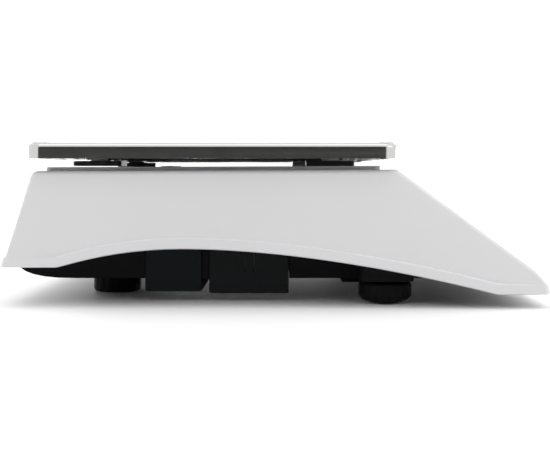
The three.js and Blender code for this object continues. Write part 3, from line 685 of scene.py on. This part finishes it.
def pan_ridge(x):
    """One ridge across the pan, sunk a little into the sheet so that no gap shows."""
    half_x, half_y = RIDGE_HALF
    return rounded_block((x - half_x, x + half_x), (-half_y, half_y),
                         (PAN_Z[1] - 1, PAN_Z[1] + 1.25), 4.5, 1.2, 6)


publish("pan", pan_sheet(), "platter", ["platter"], STAINLESS, 50, PAN_STEEL)
ridges = joined(pan_ridge(PAN_X[0] + RIDGE_INSET), pan_ridge(PAN_X[1] - RIDGE_INSET))
publish("pan_ridges", ridges, "platter", [], STAINLESS, 50)

# %% [markdown]
# ## Cushions, feet and screws
# The pan rests on grey rubber cushions. The scale stands on four knobs that turn to level it,
# with shallow flutes for the fingers. All are round, so they are spun from a profile, and
# the flutes are pressed in afterwards by drawing every second stretch of the rim inwards.

# %% Cushions
CUSHION_RADIUS = 6.5


def extent(node):
    """The middle of a frame piece, and its lowest and highest point, in millimetres."""
    low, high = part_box(node)
    return (low + high) / 2 / MM, low.z / MM, high.z / MM


for end in ("rear", "front"):
    for side in ("left", "right"):
        middle, base, peak = extent(f"cushion_{end}_{side}")
        soft = turned([(0, base), (CUSHION_RADIUS, base), (CUSHION_RADIUS, peak - 1.2),
                       (CUSHION_RADIUS - 0.4, peak - 0.4), (CUSHION_RADIUS - 1.3, peak), (0, peak)], 32)
        publish(f"rubber_cushion_{end}_{side}", moved(soft, middle.x, middle.y), "housing",
                [f"cushion_{end}_{side}"], RUBBER_GREY, 50)

# %% Levelling feet
FLUTES = 16
FLUTE_DEPTH = 0.7
FLUTED_BAND = (3, 13.2)
KNOB_STEPS = 8 * FLUTES
FRONT_RADIUS = 18
REAR_RADIUS = 17.5


def fluted(bm, radius):
    """Presses flutes into the rim of a knob."""
    low, high = FLUTED_BAND
    for vert in bm.verts:
        out = math.hypot(vert.co.x, vert.co.y)
        if out > radius - 0.6 and low < vert.co.z < high:
            wave = max(0, math.cos(FLUTES * math.atan2(vert.co.y, vert.co.x)))
            scale = 1 - FLUTE_DEPTH * wave / out
            vert.co.x *= scale
            vert.co.y *= scale
    return bm


FRONT_KNOB = [(0, 0), (6, 0), (12, 0.9), (15.4, 2.2), (17.4, 4), (FRONT_RADIUS, 5.2),
              (FRONT_RADIUS, 8.6), (FRONT_RADIUS, 12.2), (17.4, 13.4), (16.2, 14.4), (15, 14.6),
              (4, 14.6), (4, 34), (0, 34)]
REAR_KNOB = [(0, 0), (15.6, 0), (16.8, 0.5), (REAR_RADIUS, 1.8), (REAR_RADIUS, 7), (REAR_RADIUS, 12),
             (17.1, 13), (16, 13.4), (4, 13.4), (4, 30), (0, 30)]
for end, profile, radius in (("front", FRONT_KNOB, FRONT_RADIUS), ("rear", REAR_KNOB, REAR_RADIUS)):
    for side in ("left", "right"):
        middle = extent(f"foot_{end}_{side}")[0]
        knob = fluted(turned(profile, KNOB_STEPS), radius)
        publish(f"levelling_foot_{end}_{side}", moved(knob, middle.x, middle.y), f"foot_{end}_{side}",
                [f"foot_{end}_{side}"], RUBBER_BLACK, 40)

# %% Case screws with a socket in the head
HEAD_RADIUS = 3.4
HEAD_HEIGHT = 2.1
SHANK_RADIUS = 1.5
SOCKET_DEPTH = 1.3
for number in range(1, 5):
    middle, base, peak = extent(f"case_screw_{number}")
    profile = [(0, base + SOCKET_DEPTH), (1.5, base + SOCKET_DEPTH), (1.7, base + 0.1), (2.6, base),
               (3.2, base + 0.4), (HEAD_RADIUS, base + 1), (HEAD_RADIUS, base + HEAD_HEIGHT),
               (SHANK_RADIUS, base + HEAD_HEIGHT), (SHANK_RADIUS, peak - 1), (0.4, peak), (0, peak)]
    publish(f"screw_{number}", moved(turned(profile, 24), middle.x, middle.y), "housing",
            [f"case_screw_{number}"], PLATED, 40)

# %% [markdown]
# ## The boxes under the arch
# Three dark mouldings fill the arch on the left side: the rear foot, the power box, and the
# battery cover, whose tongue is freed by two slots so that a thumb can press it in. Both
# boxes are lidless shells. Their edges are rounded only a little, as on any deep moulding.

# %% Power box and battery cover
BOX_SIDE = -150
BOX_TOP = 44.9
BOX_WALL = 2
SLOT_HALF = 0.6
SIDE = Face((0, BOX_SIDE, 0), (1, 0, 0), (0, -1, 0))
SIDE.v = Vector((0, 0, 1))


def tub(x, y, z):
    """A box with rounded edges and no lid."""
    bm = rounded_block(x, y, z, 1.5, 0.9)
    bm.normal_update()
    lid = [f for f in bm.faces if f.calc_center_median().z > z[1] - 1.2]
    bmesh.ops.delete(bm, geom=lid, context="FACES")
    bm.normal_update()
    return bm


publish("power_pack_box", tub((-88.8, -50), (BOX_SIDE, -62), (7, BOX_TOP)), "housing",
        ["power_box"], BLUE_BLACK, 40, BOX_WALL)
cover_tub = tub((-45, 9.5), (BOX_SIDE, -40), (5.7, BOX_TOP))
for slot_x in (-20.5, -14.2):
    opened(cover_tub, SIDE, (slot_x - SLOT_HALF, slot_x + SLOT_HALF), (20.5, 43), 0.6, through=True)
publish("battery_tub", cover_tub, "battery_cover", ["battery_cover"], DARK_GREY,
        40, BOX_WALL)

# %% Contact pins of the mains inlet
pins = [rounded_block((x - 1, x + 1), (137.5, 146.5), (26.3, 29.7), 0.5, 0.4, 4, 1)
        for x in (-75.3, -66.7)]
publish("inlet_pins", joined(*pins), "housing", [], PLATED)

# %% [markdown]
# ## Characters from seven bars
# Both displays and the number keys need figures. Seven bars can make every figure, so one
# helper builds any of them as thin raised bars, the way a liquid crystal shows them.

# %% Figures
BARS = {"0": "abcdef", "1": "bc", "2": "abged", "3": "abgcd", "4": "fgbc", "5": "afgcd",
        "6": "afgedc", "7": "abc", "8": "abcdefg", "9": "abcdfg", "-": "g"}
STROKE_SHARE = 0.13
PITCH_SHARE = 1.55
POINT_SHARE = 0.28


def bar_box(name, w, h, stroke):
    """Where one bar of a figure lies, as ranges across and up."""
    half = stroke / 2
    gap = stroke * 0.15
    flat = {"a": h, "g": h / 2, "d": 0}
    if name in flat:
        level = flat[name]
        return (half + gap, w - half - gap), (level - half, level + half)
    across = w if name in "bc" else 0
    low, high = (h / 2, h) if name in "bf" else (0, h / 2)
    return (across - half, across + half), (low + half * 0.4, high - half * 0.4)


def figures(text, face, right, up, start, size, lift, thick=0.12):
    """Raised figures on a face of the cover, written from a starting point."""
    w, h = size
    stroke = h * STROKE_SHARE
    forms = []
    at = 0
    for sign in text:
        if sign == ".":
            point = at - w * POINT_SHARE
            forms.append(((point - stroke / 2, point + stroke / 2), (-stroke / 2, stroke / 2)))
            continue
        for name in BARS[sign]:
            across, rise = bar_box(name, w, h, stroke)
            forms.append(((at + across[0], at + across[1]), rise))
        at += w * PITCH_SHARE
    boxes = [rounded_block(a, b, (lift, lift + thick), stroke * 0.3, 0, 2) for a, b in forms]
    whole = joined(*boxes)
    turn = Matrix((right, up, face.n)).transposed().to_4x4()
    place = face.origin + right * start[0] + up * start[1]
    return placed(whole, Matrix.Translation(place) @ turn)


print(len(BARS), "characters")

# %% Displays and their windows
OPERATOR_RIGHT, OPERATOR_UP = Vector((0, 1, 0)), -SLOPE.u
CUSTOMER_RIGHT, CUSTOMER_UP = Vector((0, -1, 0)), REAR.u
FRONT_FIGURE = (6.4, 12)
REAR_FIGURE = (5.6, 10.5)
DISPLAY_LEVEL = -1.85
GLASS_LEVELS = (-1.3, -0.05)


def fitted(opening, gap=0.3):
    """The ranges of a piece that drops into an opening with a gap all round."""
    return [(low + gap, high - gap) for low, high in opening]


front_text = [figures(text, SLOPE, OPERATOR_RIGHT, OPERATOR_UP, (start, -25.5), FRONT_FIGURE, DISPLAY_LEVEL)
              for text, start in (("0.000", -122), ("0.00", -54), ("0.00", 2))]
publish("front_figures", joined(*front_text), "housing", [], LEGEND)
rear_text = [figures(text, REAR, CUSTOMER_RIGHT, CUSTOMER_UP, (start, 19.5), REAR_FIGURE, DISPLAY_LEVEL)
             for text, start in (("0.000", -72), ("0.00", -16), ("0.00", 33))]
publish("rear_figures", joined(*rear_text), "housing", [], LEGEND)
front_glass = rounded_block(*fitted(FRONT_LEDGE), GLASS_LEVELS, 2.3, 0.3)
publish("front_glass", placed(front_glass, SLOPE.matrix()), "housing",
        ["front_window"], SMOKED)
rear_glass = rounded_block(*fitted(REAR_LEDGE), GLASS_LEVELS, 2.3, 0.3)
publish("rear_glass", placed(rear_glass, REAR.matrix()), "housing",
        ["rear_window"], SMOKED)

# %% [markdown]
# ## The keypad
# The keypad is a printed plastic sheet with domes pressed up under each key. The sheet fills
# its shallow pocket, and the keys are low pads on it: number keys in white, the others in
# blue and orange. Figures and plain marks are printed on top.

# %% Sheet and keys
KEY_PITCH = (10.8, 15.4)
KEY_SIZE = (8.8, 13.2)
FIRST_KEY = (48.8, -134.6)
KEY_TOP = 0.25
INK = 0.05
KEY_ROWS = 4
KEY_COLUMNS = 12
ORANGE_COLUMN = KEY_COLUMNS - 1
NUMBER_COLUMNS = (8, 9, 10)
NUMBER_ROWS = ("789", "456", "123", "-0.")
BLUE = finish("key_blue", MOULDED, (0.10, 0.26, 0.50), 0.38, 0.3)
ORANGE = finish("key_orange", MOULDED, (0.80, 0.28, 0.05), 0.38, 0.3)
KEY_WHITE = finish("key_white", MOULDED, (0.86, 0.87, 0.88), 0.38, 0.3)


def key_middle(row, column):
    return FIRST_KEY[0] + row * KEY_PITCH[0], FIRST_KEY[1] + column * KEY_PITCH[1]


def key_pad(row, column):
    """One low key, sunk into the sheet so that no gap shows around it."""
    u, v = key_middle(row, column)
    return rounded_block((u - KEY_SIZE[0] / 2, u + KEY_SIZE[0] / 2),
                         (v - KEY_SIZE[1] / 2, v + KEY_SIZE[1] / 2), (-0.3, KEY_TOP), 1.6, 0.35)


def on_slope(forms):
    return placed(joined(*forms), SLOPE.matrix())


sheet = rounded_block(*fitted(KEYPAD_POCKET), (-0.9, -0.1), 2.7, 0.15)
publish("keypad_sheet", placed(sheet, SLOPE.matrix()), "housing",
        ["keypad_overlay"], OVERLAY)
spots = [(row, column) for row in range(KEY_ROWS) for column in range(KEY_COLUMNS)]
number_keys = [key_pad(r, c) for r, c in spots if c in NUMBER_COLUMNS]
orange_keys = [key_pad(r, c) for r, c in spots if c == ORANGE_COLUMN]
blue_keys = [key_pad(r, c) for r, c in spots if c not in (*NUMBER_COLUMNS, ORANGE_COLUMN)]
publish("number_keys", on_slope(number_keys), "housing", [], KEY_WHITE)
publish("orange_keys", on_slope(orange_keys), "housing", [], ORANGE)
publish("blue_keys", on_slope(blue_keys), "housing", [], BLUE)

# %% Printed marks
KEY_FIGURE = (2.5, 4.4)
MARK_LEVELS = (KEY_TOP, KEY_TOP + INK)


def number_mark(sign, u, v):
    """A figure on the key whose middle is at u and v, or the point as a small dot."""
    if sign == ".":
        dot = rounded_block((u + 1.4, u + 2.4), (v - 0.5, v + 0.5), MARK_LEVELS, 0.3)
        return placed(dot, SLOPE.matrix())
    start = (v - KEY_FIGURE[0] / 2, -u - KEY_FIGURE[1] / 2)
    return figures(sign, SLOPE, OPERATOR_RIGHT, OPERATOR_UP, start, KEY_FIGURE, KEY_TOP, INK)


marks = [number_mark(sign, *key_middle(row, column)) for row, text in enumerate(NUMBER_ROWS)
         for column, sign in zip(NUMBER_COLUMNS, text)]
publish("number_marks", joined(*marks), "housing", [], LEGEND)
plain = []
for row, column in spots:
    if column not in NUMBER_COLUMNS:
        u, v = key_middle(row, column)
        half = 1.5 + (row + column) % 3
        plain.append(rounded_block((u - 0.45, u + 0.45), (v - half, v + half), MARK_LEVELS, 0.3))
publish("plain_marks", on_slope(plain), "housing", [], KEY_WHITE)

# %% Lid button
button = rounded_block(*fitted(BUTTON_HOLE, 0.4), (-4.5, 1.6), 2.2, 0.9, 6)
publish("lid_button", placed(button, SLOPE.matrix()), "release_button",
        ["lid_release_button"], BUTTON_GREY)

# %% [markdown]
# ## The studio
# A pale floor runs back into pale surroundings. The scale is lit from a large softbox above
# and a smaller one on the operator's side, and a low strip behind it brightens the floor
# underneath. A black card behind the camera is what polished steel needs: with nothing dark
# to mirror, the edge of the pan would melt into the floor.

# %% Floor, card and lights
def stage_plane(name, place, turn, size, colour, roughness):
    """A flat sheet of the studio, which is not part of the scale."""
    data = bpy.data.meshes.new(name)
    bm = bmesh.new()
    bmesh.ops.create_grid(bm, x_segments=1, y_segments=1, size=0.5)
    bmesh.ops.scale(bm, verts=bm.verts, vec=(*size, 1))
    bm.to_mesh(data)
    bm.free()
    sheet = bpy.data.objects.new(name, data)
    sheet.location = place
    sheet.rotation_euler = [math.radians(a) for a in turn]
    SCENE.collection.objects.link(sheet)
    material = bpy.data.materials.new(name)
    material.use_nodes = True
    shader = material.node_tree.nodes["Principled BSDF"]
    shader.inputs["Base Color"].default_value = (*colour, 1)
    shader.inputs["Roughness"].default_value = roughness
    data.materials.append(material)
    return sheet


def area_light(name, place, target, size, power):
    data = bpy.data.lights.new(name, "AREA")
    data.shape = "RECTANGLE"
    data.size, data.size_y = size
    data.energy = power
    lamp = bpy.data.objects.new(name, data)
    lamp.location = place
    lamp.rotation_euler = (Vector(target) - Vector(place)).to_track_quat("-Z", "Y").to_euler()
    SCENE.collection.objects.link(lamp)


stage_plane("studio_floor", place=(0, 0, 0), turn=(0, 0, 0), size=(16, 16),
            colour=(0.96, 0.96, 0.96), roughness=0.7)
card = stage_plane("black_card", place=(0, -1.5, 0.42), turn=(90, 0, 0), size=(2.4, 0.84),
                   colour=(0.01, 0.01, 0.01), roughness=0.9)
card.visible_camera = False
world = bpy.data.worlds.new("studio")
world.use_nodes = True
world.node_tree.nodes["Background"].inputs["Color"].default_value = (1, 1, 1, 1)
world.node_tree.nodes["Background"].inputs["Strength"].default_value = 1.08
SCENE.world = world
area_light("top_softbox", place=(0, 0.1, 1.5), target=(0, 0, 0), size=(1.6, 1.2), power=4)
area_light("front_softbox", place=(1.3, -0.5, 0.8), target=(0.05, 0, 0.05), size=(0.9, 0.7), power=2)
area_light("low_back_strip", place=(0, 1.1, 0.1), target=(0, 0, 0.01), size=(2.4, 0.16), power=26)
print("studio ready")
